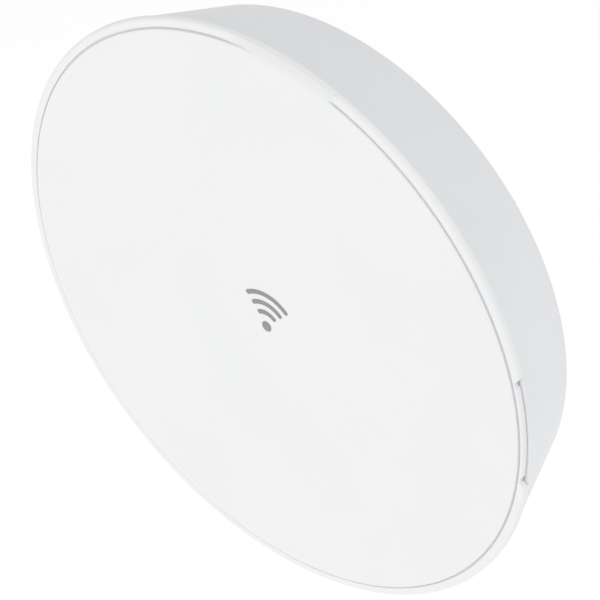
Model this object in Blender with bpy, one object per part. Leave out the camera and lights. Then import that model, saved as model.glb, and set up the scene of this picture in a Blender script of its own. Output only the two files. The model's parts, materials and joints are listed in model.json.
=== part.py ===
"""Outdoor wireless bridge: a shrouded 400 mm dish with its radio feed and tilting pole mount.

Frame: the origin is the centre of the pole that the mount grips, +Z is up along that pole, and
the dish looks along -Y. Metres. The boresight axis is the line x = 0, z = 0.
"""
import math

import bmesh
import bpy
from mathutils import Matrix, Vector

# Clearances
GAP = 0.0003
RUNNING = 0.0005

# Pole clamp
POLE_RADIUS = 0.019
POLE_RANGE = 0.003
V_HALF_ANGLE = math.radians(60)
V_REACH = 0.005
JAW_SPINE = 0.005
JAW_HALF_HEIGHT = 0.022
TOOTH_COUNT = 5
TOOTH_DEPTH = 0.0012
SHEET = 0.003
CLAMP_BOLT_CLEARANCE = 0.004
CLAMP_BOLT_RADIUS = 0.004
CLAMP_HEAD_RADIUS = 0.0078
CLAMP_HEAD_HEIGHT = 0.0040

# Elevation pivot
TILT = math.radians(15)
LOCK_RADIUS = 0.036
EAR_MARGIN = 0.007
EAR_CLEARANCE = 0.0015
HEAD_CLEARANCE = 0.0015
AXIS_HEIGHT = 0.038
BOLT_RADIUS = 0.003
BOLT_HEAD_RADIUS = 0.0062
BOLT_HEAD_HEIGHT = 0.0030
BOLT_HOLE_SLACK = 0.0005

# Rear housing, its port bay and sliding cover
HOUSING_DEPTH = 0.028
HOUSING_RIM = 0.0175
HOUSING_SETBACK = 0.002
HOUSING_CHAMFER = 0.006
HOUSING_BOLT_TURN = math.radians(50)
GASKET = 0.0015
BAY_HALF_WIDTH = 0.020
BAY_DROP = 0.0135
BAY_HEIGHT = 0.037
BAY_WALL = 0.0035
PASSAGE_HALF_WIDTH = 0.012
COVER_HALF_WIDTH = 0.0135
COVER_PLATE = 0.0020
COVER_TONGUE = 0.0014
COVER_TONGUE_REACH = 0.0022
COVER_LIP = 0.0030
CABLE_RADIUS = 0.0032
GROMMET_WALL = 0.0022

# Radio feed
FEED_RADIUS = 0.0285
FEED_WALL = 0.0022
FEED_CLEARANCE = 0.0065
HORN_RADIUS = 0.0165
HORN_WALL = 0.0015
HORN_LENGTH = 0.022
CONE_LENGTH = 0.0165
SUB_RADIUS = 0.038
SUB_SHEET = 0.0015
CAP_SHELL = 0.0020
CAP_DEPTH = 0.0065
BOARD = 0.0016
BOARD_CLEARANCE = 0.0058
JACK_WIDTH = 0.016
JACK_HEIGHT = 0.0135
JACK_DEPTH = 0.0165
JACK_WALL = 0.0015
BUTTON_RADIUS = 0.0016
BUTTON_SPACING = 0.0030
JACK_SETBACK = 0.009
JACK_RECESS = 0.0045

# Reflector
FOCAL_LENGTH = 0.130
REFLECTOR_SHEET = 0.0015
FLAT_MARGIN = 0.009
FEED_HOLE_SLACK = 0.0012
APERTURE_RADIUS = 0.1962
FLANGE_WIDTH = 0.010
BOWL_STEPS = 6

# Shroud
SHROUD_DEPTH = 0.074
SHROUD_OVERLAP = 0.022
SHROUD_WALL = 0.0016
LEDGE_RISE = 0.0004
SHROUD_FLARE = 0.0275
SHROUD_FIT = 0.0014
SHROUD_HEM = 0.0060
SHROUD_HEM_DEPTH = 0.0060
SHROUD_SCREWS = 6
SCREW_RADIUS = 0.0020
SCREW_HEAD_RADIUS = 0.0034

# Radome
RADOME_WALL = 0.0025
RADOME_FIT = 0.0010
RADOME_RISE = 0.0030
RADOME_LIP = 0.0060
RADOME_SKIRT = 0.0090
SKIRT_WALL = 0.0018
SEAL = 0.0016
TAB_TURNS = (math.radians(6), math.radians(90), math.radians(174), math.radians(270))
TAB_HALF_ANGLE = math.radians(12)
TAB_SLOT = 0.0060
TAB_SLOT_START = 0.0012

# Segments round a circle
RING_SEGMENTS = 64
BODY_SEGMENTS = 36
SMALL_SEGMENTS = 12

# Sizes that follow from the ones above
POLE_RADIUS_MAX = POLE_RADIUS + POLE_RANGE
CLAMP_BOLT_X = POLE_RADIUS_MAX + CLAMP_BOLT_RADIUS + CLAMP_BOLT_CLEARANCE
JAW_HALF_WIDTH = CLAMP_BOLT_X - CLAMP_BOLT_RADIUS - 2 * RUNNING
BORE_RADIUS = FEED_RADIUS + 2 * RUNNING
HOUSING_RADIUS = BORE_RADIUS + HOUSING_RIM
DISH_EAR_INNER = HOUSING_RADIUS + BOLT_HEAD_HEIGHT + HEAD_CLEARANCE
DISH_EAR_OUTER = DISH_EAR_INNER + SHEET
EAR_INNER = DISH_EAR_OUTER + RUNNING
EAR_OUTER = EAR_INNER + SHEET
HOUSING_BOLT_RING = (BORE_RADIUS + HOUSING_RADIUS) / 2
HOUSING_BOLT_X = HOUSING_BOLT_RING * math.cos(HOUSING_BOLT_TURN)
HOUSING_BOLT_Z = HOUSING_BOLT_RING * math.sin(HOUSING_BOLT_TURN)
BAY_TOP = -(BORE_RADIUS + BAY_DROP)
BAY_BOTTOM = BAY_TOP - BAY_HEIGHT
BOARD_HALF_HEIGHT = FEED_RADIUS - FEED_WALL - BOARD_CLEARANCE
FLAT_RADIUS = HOUSING_RADIUS + FLAT_MARGIN
FLANGE_RADIUS = APERTURE_RADIUS + FLANGE_WIDTH
LEDGE_RADIUS = FLANGE_RADIUS + SHROUD_FIT
LEDGE_SHARE = SHROUD_OVERLAP / SHROUD_DEPTH
SHROUD_REAR_RADIUS = LEDGE_RADIUS + SHROUD_WALL - LEDGE_SHARE * SHROUD_FLARE
SHROUD_FRONT_RADIUS = SHROUD_REAR_RADIUS + SHROUD_FLARE
HEM_RADIUS = SHROUD_FRONT_RADIUS - SHROUD_HEM
RADOME_RADIUS = SHROUD_FRONT_RADIUS + RADOME_FIT
SKIRT_RADIUS = HEM_RADIUS - RADOME_FIT

# Places along the boresight, worked out from the pole forwards
V_VERTEX = POLE_RADIUS / math.sin(V_HALF_ANGLE)
V_TIP = V_VERTEX - (POLE_RADIUS + V_REACH) / math.tan(V_HALF_ANGLE)
WEB_BACK = -(V_VERTEX + JAW_SPINE)
WEB_FRONT = WEB_BACK - SHEET
PIVOT_Y = WEB_FRONT - EAR_MARGIN / math.cos(TILT) - JAW_HALF_HEIGHT * math.tan(TILT) - EAR_CLEARANCE
DISH_PIVOT_Z = -AXIS_HEIGHT
DISH_LOCK_Z = DISH_PIVOT_Z + LOCK_RADIUS
HOUSING_BACK = PIVOT_Y + HOUSING_SETBACK
HOUSING_FRONT = HOUSING_BACK - HOUSING_DEPTH
FLAT_BACK = HOUSING_FRONT - GASKET - 2 * GAP
FLAT_FRONT = FLAT_BACK - REFLECTOR_SHEET
FLANGE_FRONT = FLAT_FRONT - (APERTURE_RADIUS**2 - FLAT_RADIUS**2) / (4 * FOCAL_LENGTH)
LEDGE_BACK = FLANGE_FRONT - GAP
SHROUD_BACK = LEDGE_BACK + SHROUD_OVERLAP
SHROUD_FRONT = SHROUD_BACK - SHROUD_DEPTH
LIP_BACK = SHROUD_FRONT - SEAL - 2 * GAP
LIP_FRONT = LIP_BACK - RADOME_WALL
RADOME_FACE = LIP_FRONT - RADOME_RISE
CAP_FRONT = RADOME_FACE + RADOME_WALL + FEED_CLEARANCE
PLATE_FRONT = CAP_FRONT + CAP_SHELL + GAP
CONE_FRONT = PLATE_FRONT + SUB_SHEET + GAP
CONE_BACK = CONE_FRONT + CONE_LENGTH
HORN_FRONT = CONE_BACK + GAP
FEED_FRONT = HORN_FRONT + HORN_LENGTH
FEED_BACK = HOUSING_BACK - GAP
JACK_Y = HOUSING_BACK - JACK_SETBACK - JACK_WIDTH / 2
JACK_MOUTH_Z = -(FEED_RADIUS - JACK_RECESS)
BUTTON_Y = JACK_Y + JACK_WIDTH / 2 + BUTTON_SPACING


def clear_scene():
    for obj in list(bpy.data.objects):
        bpy.data.objects.remove(obj, do_unlink=True)


def material(name, colour, roughness, metallic=0.0):
    """A Principled material, made once for each name."""
    found = bpy.data.materials.get(name)
    if found:
        return found
    made = bpy.data.materials.new(name)
    made.use_nodes = True
    shader = made.node_tree.nodes["Principled BSDF"]
    shader.inputs["Base Color"].default_value = (*colour, 1.0)
    shader.inputs["Roughness"].default_value = roughness
    shader.inputs["Metallic"].default_value = metallic
    return made


def white_plastic():
    return material("white_plastic", (0.86, 0.86, 0.87), 0.45)


def white_coat():
    return material("white_powder_coat", (0.80, 0.80, 0.81), 0.5)


def rubber():
    return material("black_rubber", (0.03, 0.03, 0.03), 0.8)


def zinc():
    return material("zinc_plate", (0.62, 0.63, 0.65), 0.35, 1.0)


def galvanised():
    return material("galvanised_steel", (0.55, 0.57, 0.59), 0.45, 1.0)


def bare_aluminium():
    return material("aluminium", (0.75, 0.76, 0.77), 0.3, 1.0)


def laminate():
    return material("board_laminate", (0.02, 0.16, 0.08), 0.5)


def clear_plastic():
    return material("clear_plastic", (0.75, 0.80, 0.85), 0.15)


# Modelling helpers


def finish(name, bm, look):
    """Turns a bmesh into an object with outward normals and smooth round faces."""
    bmesh.ops.remove_doubles(bm, verts=bm.verts, dist=1e-6)
    bmesh.ops.recalc_face_normals(bm, faces=bm.faces)
    mesh = bpy.data.meshes.new(name)
    bm.to_mesh(mesh)
    bm.free()
    mesh.materials.append(look)
    mesh.shade_smooth()
    mesh.set_sharp_from_angle(angle=math.radians(35))
    obj = bpy.data.objects.new(name, mesh)
    bpy.context.scene.collection.objects.link(obj)
    return obj


def turned(name, profile, look, segments=BODY_SEGMENTS):
    """Spins a closed (radius, y) profile round the Y axis."""
    bm = bmesh.new()
    loop = [bm.verts.new((r, y, 0)) for r, y in profile]
    edges = [bm.edges.new((a, b)) for a, b in zip(loop, loop[1:] + loop[:1])]
    on_axis = [e for e in edges if max(v.co.x for v in e.verts) < 1e-7]
    for edge in on_axis:
        bm.edges.remove(edge)
    bmesh.ops.spin(bm, geom=bm.verts[:] + bm.edges[:], cent=(0, 0, 0), axis=(0, 1, 0),
                   angle=2 * math.pi, steps=segments, use_merge=True)
    return finish(name, bm, look)


def prism(name, outline, start, end, look, axis="Y"):
    """Extrudes a flat outline along an axis. Its two coordinates are the other two, in XYZ order."""
    to_point = {
        "X": lambda u, v: (start, u, v),
        "Y": lambda u, v: (u, start, v),
        "Z": lambda u, v: (u, v, start),
    }[axis]
    along = Vector(to_point(0, 0)).normalized() * 0
    along["XYZ".index(axis)] = end - start
    bm = bmesh.new()
    face = bm.faces.new([bm.verts.new(to_point(u, v)) for u, v in outline])
    pushed = bmesh.ops.extrude_face_region(bm, geom=[face])
    moved = [v for v in pushed["geom"] if isinstance(v, bmesh.types.BMVert)]
    bmesh.ops.translate(bm, verts=moved, vec=along)
    return finish(name, bm, look)


def box(name, low, high, look):
    (x0, y0, z0), (x1, y1, z1) = low, high
    return prism(name, [(x0, z0), (x1, z0), (x1, z1), (x0, z1)], y0, y1, look)


def rod(name, radius, start, end, look, axis="Y", centre=(0, 0), segments=SMALL_SEGMENTS):
    return prism(name, circle(centre, radius, segments), start, end, look, axis)


def circle(centre, radius, count=SMALL_SEGMENTS, first=0.0, sweep=2 * math.pi):
    """Points round a circle, or along an arc of it that includes both ends."""
    whole = abs(sweep - 2 * math.pi) < 1e-9
    steps = count if whole else count - 1
    turns = [first + sweep * i / steps for i in range(count)]
    return [(centre[0] + radius * math.cos(t), centre[1] + radius * math.sin(t)) for t in turns]


def hull(points):
    """The convex outline round some flat points, anticlockwise."""
    def side(chain, p):
        (ax, ay), (bx, by) = chain[-2:]
        return (bx - ax) * (p[1] - ay) - (by - ay) * (p[0] - ax)

    def half(ordered):
        chain = []
        for p in ordered:
            while len(chain) > 1 and side(chain, p) <= 1e-12:
                chain.pop()
            chain.append(p)
        return chain[:-1]

    ordered = sorted(set((round(u, 7), round(v, 7)) for u, v in points))
    return half(ordered) + half(ordered[::-1])


def boolean(obj, other, operation):
    """Applies one exact Boolean with a helper object, which then goes away."""
    modifier = obj.modifiers.new(operation.lower(), "BOOLEAN")
    modifier.operation = operation
    modifier.object = other
    graph = bpy.context.evaluated_depsgraph_get()
    made = bpy.data.meshes.new_from_object(obj.evaluated_get(graph))
    obj.modifiers.remove(modifier)
    obj.data = made
    made.shade_smooth()
    made.set_sharp_from_angle(angle=math.radians(35))
    bpy.data.objects.remove(other, do_unlink=True)
    return obj


def cut(obj, *cutters):
    for cutter in cutters:
        boolean(obj, cutter, "DIFFERENCE")
    return obj


def join(obj, *others):
    for other in others:
        boolean(obj, other, "UNION")
    return obj


def empty(name, place):
    made = bpy.data.objects.new(name, None)
    made.location = place
    bpy.context.scene.collection.objects.link(made)
    bpy.context.view_layer.update()
    return made


def carry(parent, *objects):
    """Parents the objects to a joint's empty and leaves them where they are."""
    for obj in objects:
        obj.parent = parent
        obj.matrix_parent_inverse = parent.matrix_world.inverted()


def along_x(obj, place, direction):
    """Turns a piece made along +Y so that it runs along +X or -X, and puts it in place."""
    turn = Matrix.Rotation(-direction * math.pi / 2, 4, "Z")
    obj.matrix_world = Matrix.Translation(place) @ turn
    return obj


# Fasteners, made along +Y from y = 0, the face that they bear on


def coach_bolt(name, radius, head_radius, head_height, length, look):
    """Round low head behind y = 0 and a plain shank of the thread's outer size in front."""
    dome = [(0, -head_height), (0.5 * head_radius, -0.92 * head_height),
            (0.85 * head_radius, -0.6 * head_height), (head_radius, -0.15 * head_height)]
    shank = [(head_radius, 0), (radius, 0), (radius, length - 0.4 * radius),
             (0.7 * radius, length), (0, length)]
    return turned(name, dome + shank, look, SMALL_SEGMENTS)


def flange_nut(name, radius, look):
    """Hexagon nut with a round washer face at y = 0. The bore clears the bolt's thread."""
    across_corners = 1.85 * radius
    height = 1.9 * radius
    flange = 0.4 * radius
    nut = prism(name, circle((0, 0), across_corners, 6), 0.5 * flange, height, look)
    join(nut, rod("washer_face", 2.2 * radius, 0, flange, look))
    return cut(nut, rod("thread_bore", radius + GAP, -flange, height + flange, look))


# Pole side


def v_flange(name, tip_y, spine_y, z_low, look):
    """A flat plate with a toothed V notch that opens towards the pole."""
    toward = 1 if tip_y > spine_y else -1
    vertex_y = -toward * V_VERTEX
    run = abs(tip_y - vertex_y)
    notch = []
    for i in range(TOOTH_COUNT):
        share = 1 - i / TOOTH_COUNT
        next_share = 1 - (i + 0.5) / TOOTH_COUNT
        notch.append((run * share * math.tan(V_HALF_ANGLE), vertex_y + toward * run * share))
        notch.append((run * next_share * math.tan(V_HALF_ANGLE) + TOOTH_DEPTH,
                      vertex_y + toward * run * next_share))
    right = [(JAW_HALF_WIDTH, spine_y), (JAW_HALF_WIDTH, tip_y)] + notch + [(0, vertex_y)]
    left = [(-x, y) for x, y in reversed(right[:-1])]
    return prism(name, right + left, z_low, z_low + SHEET, look, "Z")


def ear(name, outline, x_low, look):
    return prism(name, outline, x_low, x_low + SHEET, look, "X")


def slot_end(turn):
    """A place on the lock bolt's arc round the pivot."""
    return (PIVOT_Y + LOCK_RADIUS * math.cos(turn), LOCK_RADIUS * math.sin(turn))


def arc_slot(name, look):
    """Cutter for the lock bolt's slot, an arc round the pivot as wide as the bolt's hole."""
    half = BOLT_RADIUS + BOLT_HOLE_SLACK
    pivot = (PIVOT_Y, 0)
    first, sweep = math.pi / 2 - TILT, 2 * TILT
    outer = circle(pivot, LOCK_RADIUS + half, 9, first, sweep)
    inner = circle(pivot, LOCK_RADIUS - half, 9, first, sweep)
    ends = [slot_end(t) for t in (first, first + sweep)]
    far_cap = circle(ends[1], half, 7, first + sweep, math.pi)[1:-1]
    near_cap = circle(ends[0], half, 7, first + math.pi, math.pi)[1:-1]
    reach = EAR_OUTER + SHEET
    return prism(name, outer + far_cap + inner[::-1] + near_cap, -reach, reach, look, "X")


def bolt_holes_x(centres, look):
    """Cutters right across the bracket for bolts that run along X."""
    reach = EAR_OUTER + SHEET
    radius = BOLT_RADIUS + BOLT_HOLE_SLACK
    return [rod("bolt_hole", radius, -reach, reach, look, "X", c) for c in centres]


def clamp_holes(y_low, y_high, look):
    radius = CLAMP_BOLT_RADIUS + BOLT_HOLE_SLACK
    return [rod("clamp_hole", radius, y_low, y_high, look, "Y", (side * CLAMP_BOLT_X, 0))
            for side in (-1, 1)]


def make_pole_bracket():
    """Folded steel: a web, two ears towards the dish and two V flanges towards the pole."""
    look = galvanised()
    overlap = SHEET / 2
    bracket = box("pole_bracket", (-EAR_OUTER + overlap / 3, WEB_FRONT, -JAW_HALF_HEIGHT + overlap / 3),
                  (EAR_OUTER - overlap / 3, WEB_BACK, JAW_HALF_HEIGHT - overlap / 3), look)
    for z_low in (-JAW_HALF_HEIGHT, JAW_HALF_HEIGHT - SHEET):
        join(bracket, v_flange("v_flange", -V_TIP, WEB_BACK - overlap, z_low, look))
    pivot = (PIVOT_Y, 0)
    rounds = circle(pivot, EAR_MARGIN)
    for turn in (math.pi / 2 - TILT, math.pi / 2 + TILT):
        rounds += circle(slot_end(turn), EAR_MARGIN)
    root = [(WEB_FRONT + overlap, -JAW_HALF_HEIGHT + overlap), (WEB_FRONT + overlap, JAW_HALF_HEIGHT - overlap)]
    for x_low in (-EAR_OUTER, EAR_INNER):
        join(bracket, ear("ear", hull(rounds + root), x_low, look))
    cut(bracket, arc_slot("slot", look), *bolt_holes_x([pivot], look))
    return cut(bracket, *clamp_holes(WEB_FRONT - SHEET, WEB_BACK + SHEET, look))


def make_clamp_jaw():
    """The second jaw behind the pole: a web and two V flanges facing the first ones."""
    look = galvanised()
    overlap = SHEET / 2
    half_width = CLAMP_BOLT_X + CLAMP_HEAD_RADIUS + 0.0012
    jaw = box("clamp_jaw", (-half_width, -WEB_BACK, -JAW_HALF_HEIGHT + overlap / 3),
              (half_width, -WEB_FRONT, JAW_HALF_HEIGHT - overlap / 3), look)
    for z_low in (-JAW_HALF_HEIGHT, JAW_HALF_HEIGHT - SHEET):
        join(jaw, v_flange("v_flange", V_TIP, -WEB_BACK + overlap, z_low, look))
    return cut(jaw, *clamp_holes(-WEB_BACK - SHEET, -WEB_FRONT + SHEET, look))


def make_clamp_fasteners():
    """Two long coach bolts from the bracket's front, and the nuts behind the jaw."""
    bolts, nuts = [], []
    open_travel = (POLE_RADIUS_MAX - POLE_RADIUS) * 2 / math.sin(V_HALF_ANGLE)
    nut_height = 1.9 * CLAMP_BOLT_RADIUS
    length = -2 * WEB_FRONT + open_travel + nut_height + 0.5 * CLAMP_BOLT_RADIUS
    for side, x in (("left", -CLAMP_BOLT_X), ("right", CLAMP_BOLT_X)):
        bolt = coach_bolt(f"clamp_bolt_{side}", CLAMP_BOLT_RADIUS, CLAMP_HEAD_RADIUS,
                          CLAMP_HEAD_HEIGHT, length, zinc())
        bolt.location = (x, WEB_FRONT - GAP, 0)
        nut = flange_nut(f"clamp_nut_{side}", CLAMP_BOLT_RADIUS, zinc())
        nut.location = (x, -WEB_FRONT + GAP, 0)
        bolts.append(bolt)
        nuts.append(nut)
    return bolts, nuts


# Dish side of the mount


def make_dish_bracket():
    """Folded steel yoke: a web on the housing's back and two ears between the pole ears."""
    look = galvanised()
    overlap = SHEET / 2
    web_front, web_back = HOUSING_BACK + GAP, HOUSING_BACK + GAP + SHEET
    half_height = HOUSING_BOLT_Z + EAR_MARGIN
    bracket = box("dish_bracket", (-DISH_EAR_OUTER + overlap / 3, web_front, -half_height),
                  (DISH_EAR_OUTER - overlap / 3, web_back, half_height), look)
    pivot, lock = (PIVOT_Y, DISH_PIVOT_Z), (PIVOT_Y, DISH_LOCK_Z)
    root_y, root_z = web_front + overlap / 3, half_height - overlap / 3
    outline = hull(circle(pivot, EAR_MARGIN) + circle(lock, EAR_MARGIN) + [(root_y, -root_z), (root_y, root_z)])
    for x_low in (-DISH_EAR_OUTER, DISH_EAR_INNER):
        join(bracket, ear("ear", outline, x_low, look))
    cut(bracket, *bolt_holes_x([pivot, lock], look))
    relief = DISH_EAR_INNER - BOLT_HEAD_HEIGHT - 2 * RUNNING
    clear = BOLT_HEAD_RADIUS + RUNNING
    for centre in (pivot, lock):
        cut(bracket, rod("head_relief", clear, relief, DISH_EAR_INNER, look, "X", centre),
            rod("head_relief", clear, -DISH_EAR_INNER, -relief, look, "X", centre))
    low, high = web_front - SHEET, web_back + SHEET
    cut(bracket, rod("feed_opening", FEED_RADIUS, low, high, look, segments=BODY_SEGMENTS),
        box("feed_opening_top", (-0.6 * FEED_RADIUS, low, 0), (0.6 * FEED_RADIUS, high, 2 * half_height), look))
    return cut(bracket, *housing_bolt_holes(low, high, look))


def housing_bolt_places():
    return [(x, z) for x in (-HOUSING_BOLT_X, HOUSING_BOLT_X)
            for z in (-HOUSING_BOLT_Z, HOUSING_BOLT_Z)]


def housing_bolt_holes(y_low, y_high, look):
    radius = BOLT_RADIUS + BOLT_HOLE_SLACK
    return [rod("housing_hole", radius, y_low, y_high, look, "Y", place)
            for place in housing_bolt_places()]


def make_housing_fasteners():
    """Four low-headed bolts from behind the yoke, with nuts inside the bowl."""
    pieces = []
    web_back = HOUSING_BACK + GAP + SHEET
    nut_height = 1.9 * BOLT_RADIUS
    length = web_back - FLAT_FRONT + nut_height + 0.3 * BOLT_RADIUS
    for number, (x, z) in enumerate(housing_bolt_places(), 1):
        bolt = coach_bolt(f"housing_bolt_{number}", BOLT_RADIUS, BOLT_HEAD_RADIUS, BOLT_HEAD_HEIGHT,
                          length, zinc())
        bolt.rotation_euler = (0, 0, math.pi)
        bolt.location = (x, web_back + GAP, z)
        nut = flange_nut(f"housing_nut_{number}", BOLT_RADIUS, zinc())
        nut.rotation_euler = (0, 0, math.pi)
        nut.location = (x, FLAT_FRONT - GAP, z)
        pieces += [bolt, nut]
    return pieces


def make_tilt_fasteners():
    """Pivot and lock bolts: heads inside the yoke, nuts outside the pole bracket's ears."""
    pieces = []
    length = EAR_OUTER - DISH_EAR_INNER + 1.9 * BOLT_RADIUS + BOLT_RADIUS
    for role, z in (("pivot", DISH_PIVOT_Z), ("lock", DISH_LOCK_Z)):
        for side, direction in (("left", -1), ("right", 1)):
            bolt = coach_bolt(f"{role}_bolt_{side}", BOLT_RADIUS, BOLT_HEAD_RADIUS,
                              BOLT_HEAD_HEIGHT, length, zinc())
            along_x(bolt, (direction * (DISH_EAR_INNER - GAP), PIVOT_Y, z), direction)
            nut = flange_nut(f"{role}_nut_{side}", BOLT_RADIUS, zinc())
            along_x(nut, (direction * (EAR_OUTER + GAP), PIVOT_Y, z), direction)
            pieces += [bolt, nut]
    return pieces


# Rear housing


def cover_slot(name, slack, z_low, z_high, look):
    """The port cover's T section, grown by slack: a plate with a wider tongue behind it."""
    plate_front = HOUSING_BACK - COVER_PLATE
    half = COVER_HALF_WIDTH + slack
    wide = half + COVER_TONGUE_REACH
    tongue_front = plate_front - COVER_TONGUE - slack
    back = HOUSING_BACK + (GAP * 10 if slack else 0)
    right = [(half, back), (half, plate_front + slack), (wide, plate_front + slack), (wide, tongue_front)]
    left = [(-x, y) for x, y in reversed(right)]
    return prism(name, right + left, z_low, z_high, look, "Z")


def make_rear_housing():
    """Moulded cup behind the reflector, with the feed's bore and the cable bay below it."""
    look = white_plastic()
    c = HOUSING_CHAMFER
    profile = [(BORE_RADIUS, HOUSING_FRONT), (HOUSING_RADIUS, HOUSING_FRONT), (HOUSING_RADIUS, HOUSING_BACK - c),
               (HOUSING_RADIUS - 0.3 * c, HOUSING_BACK - 0.3 * c), (HOUSING_RADIUS - c, HOUSING_BACK),
               (BORE_RADIUS, HOUSING_BACK)]
    housing = turned("rear_housing", profile, look)
    bay_back = HOUSING_BACK - GAP / 3
    join(housing, box("bay", (-BAY_HALF_WIDTH, HOUSING_FRONT + GAP / 3, BAY_BOTTOM),
                      (BAY_HALF_WIDTH, bay_back, -(BORE_RADIUS + 0.004)), look))
    passage_front = HOUSING_FRONT + BAY_WALL
    passage_back = HOUSING_BACK - COVER_PLATE - COVER_TONGUE - 0.0011
    below = BAY_BOTTOM - 0.005
    cut(housing,
        box("passage", (-PASSAGE_HALF_WIDTH, passage_front, below),
            (PASSAGE_HALF_WIDTH, passage_back, 0), look),
        box("hand_opening", (-PASSAGE_HALF_WIDTH, passage_back - 0.004, below),
            (PASSAGE_HALF_WIDTH, HOUSING_BACK + 0.005, BAY_TOP - 0.004), look),
        cover_slot("cover_slot", RUNNING, below, BAY_TOP, look))
    return cut(housing, *housing_bolt_holes(HOUSING_FRONT - 0.01, HOUSING_BACK + 0.01, look))


def make_housing_gasket():
    """Flat foam ring between the housing and the reflector's flat."""
    back = HOUSING_FRONT - GAP
    profile = [(BORE_RADIUS, back - GASKET), (HOUSING_RADIUS - 0.001, back - GASKET),
               (HOUSING_RADIUS - 0.001, back), (BORE_RADIUS, back)]
    gasket = turned("housing_gasket", profile, rubber())
    return cut(gasket, *housing_bolt_holes(back - 0.01, back + 0.01, rubber()))


def make_port_cover():
    """Sliding door of the bay. Its foot closes the passage round the cable grommet."""
    look = white_plastic()
    top, foot_top = BAY_TOP - RUNNING, BAY_BOTTOM - RUNNING
    cover = cover_slot("port_cover", 0, foot_top - COVER_LIP, top, look)
    foot_front = HOUSING_FRONT + GAP
    plate_middle = HOUSING_BACK - COVER_PLATE / 2
    join(cover, box("foot", (-COVER_HALF_WIDTH, foot_front, foot_top - COVER_LIP * 0.95),
                    (COVER_HALF_WIDTH, plate_middle, foot_top), look))
    hole = CABLE_RADIUS + GROMMET_WALL + GAP
    place = (0, JACK_Y)
    return cut(cover, rod("grommet_hole", hole, foot_top - COVER_LIP - 0.002, foot_top + 0.002, look,
                          "Z", place, 24))


def make_cable_grommet():
    """Rubber ring in the cover's foot, grooved to hold on to it."""
    outer = CABLE_RADIUS + GROMMET_WALL
    flare = outer + 0.0012
    middle = BAY_BOTTOM - RUNNING - COVER_LIP / 2
    half = COVER_LIP / 2 + GAP
    profile = [(CABLE_RADIUS, -half - 0.0015), (flare - 0.0006, -half - 0.0015), (flare, -half - 0.0008),
               (flare, -half), (outer, -half), (outer, half), (flare, half), (flare, half + 0.0012),
               (CABLE_RADIUS, half + 0.0012)]
    grommet = turned("cable_grommet", profile, rubber(), 24)
    grommet.rotation_euler = (math.pi / 2, 0, 0)
    grommet.location = (0, JACK_Y, middle)
    return grommet


# Radio feed


def make_feed_tube():
    """The radio's moulded tube, closed at the front round the horn, open at the back."""
    look = white_plastic()
    outer, inner = FEED_RADIUS, FEED_RADIUS - FEED_WALL
    neck = HORN_RADIUS + RUNNING
    taper = 0.008
    profile = [(neck, FEED_FRONT), (outer - taper, FEED_FRONT), (outer - 0.3 * taper, FEED_FRONT + 0.3 * taper),
               (outer, FEED_FRONT + taper), (outer, FEED_BACK), (inner, FEED_BACK),
               (inner, FEED_FRONT + taper), (inner - 0.7 * taper, FEED_FRONT + FEED_WALL),
               (neck, FEED_FRONT + FEED_WALL)]
    tube = turned("feed_tube", profile, look)
    slack = GAP * 2
    window = box("jack_window", (-JACK_HEIGHT / 2 - slack, JACK_Y - JACK_WIDTH / 2 - slack, -0.04),
                 (JACK_HEIGHT / 2 + slack, JACK_Y + JACK_WIDTH / 2 + slack, -0.015), look)
    button_hole = rod("button_hole", BUTTON_RADIUS + 0.0004, -0.04, -0.015, look, "Z", (0, BUTTON_Y))
    return cut(tube, window, button_hole)


def make_feed_end_cap():
    """Plug that closes the tube's back, with a slot for the status lens."""
    look = white_plastic()
    outer = FEED_RADIUS - FEED_WALL - GAP
    depth = 0.0026
    front = FEED_BACK - depth
    profile = [(0, front), (outer, front), (outer, FEED_BACK - 0.0006), (outer - 0.0008, FEED_BACK), (0, FEED_BACK)]
    cap = turned("feed_end_cap", profile, look)
    (x0, z0), (x1, z1) = lens_slot(GAP)
    return cut(cap, box("lens_slot", (x0, front - 0.002, z0), (x1, FEED_BACK + 0.002, z1), look))


def lens_slot(slack):
    half_width, half_height, middle_z = 0.0125, 0.0016, 0.010
    return ((-half_width - slack, middle_z - half_height - slack),
            (half_width + slack, middle_z + half_height + slack))


def make_status_lens():
    """Light pipe for the row of status lights, flush with the end cap."""
    (x0, z0), (x1, z1) = lens_slot(0)
    return box("status_lens", (x0, FEED_BACK - 0.0045, z0), (x1, FEED_BACK, z1), clear_plastic())


def make_main_board():
    """Circuit board along the tube, upright at one side of the jack."""
    right = -JACK_HEIGHT / 2 - GAP
    front = FEED_FRONT + 0.016
    back = FEED_BACK - 0.0060
    return box("main_board", (right - BOARD, front, -BOARD_HALF_HEIGHT + 0.002),
               (right, back, BOARD_HALF_HEIGHT - 0.002), laminate())


def make_shield_can():
    """Tinned lid over the radio chips, a five-sided box open to the board."""
    board_face = -JACK_HEIGHT / 2 - GAP
    x0 = board_face + GAP
    x1 = x0 + 0.0045
    y0, y1 = FEED_FRONT + 0.020, JACK_Y - JACK_WIDTH / 2 - 0.006
    z0, z1 = -0.0165, 0.0165
    wall = 0.0008
    can = box("shield_can", (x0, y0, z0), (x1, y1, z1), zinc())
    return cut(can, box("can_inside", (x0 - 0.001, y0 + wall, z0 + wall), (x1 - wall, y1 - wall, z1 - wall), zinc()))


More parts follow.
